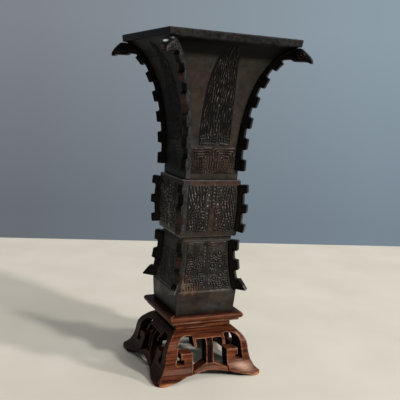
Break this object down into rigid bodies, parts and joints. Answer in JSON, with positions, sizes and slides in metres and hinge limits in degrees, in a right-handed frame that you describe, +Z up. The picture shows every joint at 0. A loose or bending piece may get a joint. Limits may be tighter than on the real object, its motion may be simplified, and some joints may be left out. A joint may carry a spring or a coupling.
{
  "type": "square bronze vase on stand",
  "caption": "Tall square bronze beaker vase with a flared mouth and notched corner flanges, standing loose on a pierced and carved rosewood stand with flared feet.",
  "frame": {"origin": "on the table, at the middle of the square that the stand's four feet cover", "axes": "+Z up the vase's axis; the front of the vase and stand faces -Y, its right side +X"},
  "size_m": [0.1108, 0.1108, 0.24],
  "materials": {
    "bronze": "dark brown patina, satin, with worn brown and olive patches",
    "flange_bronze": "dark brown patina, rubbed to red brown on the teeth",
    "rosewood": "waxed, semi-gloss, dark red brown with fine straight grain"
  },
  "bodies": {
    "stand": {"stand_panel": "rosewood", "stand_rail_front": "rosewood", "stand_rail_right": "rosewood", "stand_rail_back": "rosewood", "stand_rail_left": "rosewood", "stand_waist_front": "rosewood", "stand_waist_right": "rosewood", "stand_waist_back": "rosewood", "stand_waist_left": "rosewood", "stand_apron_front": "rosewood", "stand_apron_right": "rosewood", "stand_apron_back": "rosewood", "stand_apron_left": "rosewood"},
    "vase": {"neck_casting": "bronze", "belly_casting": "bronze", "foot_casting": "bronze", "floor_plate": "bronze", "neck_flange_front_left": "flange_bronze", "neck_flange_front_right": "flange_bronze", "neck_flange_back_right": "flange_bronze", "neck_flange_back_left": "flange_bronze", "belly_flange_front_left": "flange_bronze", "belly_flange_front_right": "flange_bronze", "belly_flange_back_right": "flange_bronze", "belly_flange_back_left": "flange_bronze", "foot_flange_front_left": "flange_bronze", "foot_flange_front_right": "flange_bronze", "foot_flange_back_right": "flange_bronze", "foot_flange_back_left": "flange_bronze"}
  },
  "joints": [
    {"name": "vase_lift", "type": "slide", "parent": "stand", "child": "vase", "axis": [0, 0, 1], "range_m": [0, 0.06]}
  ]
}
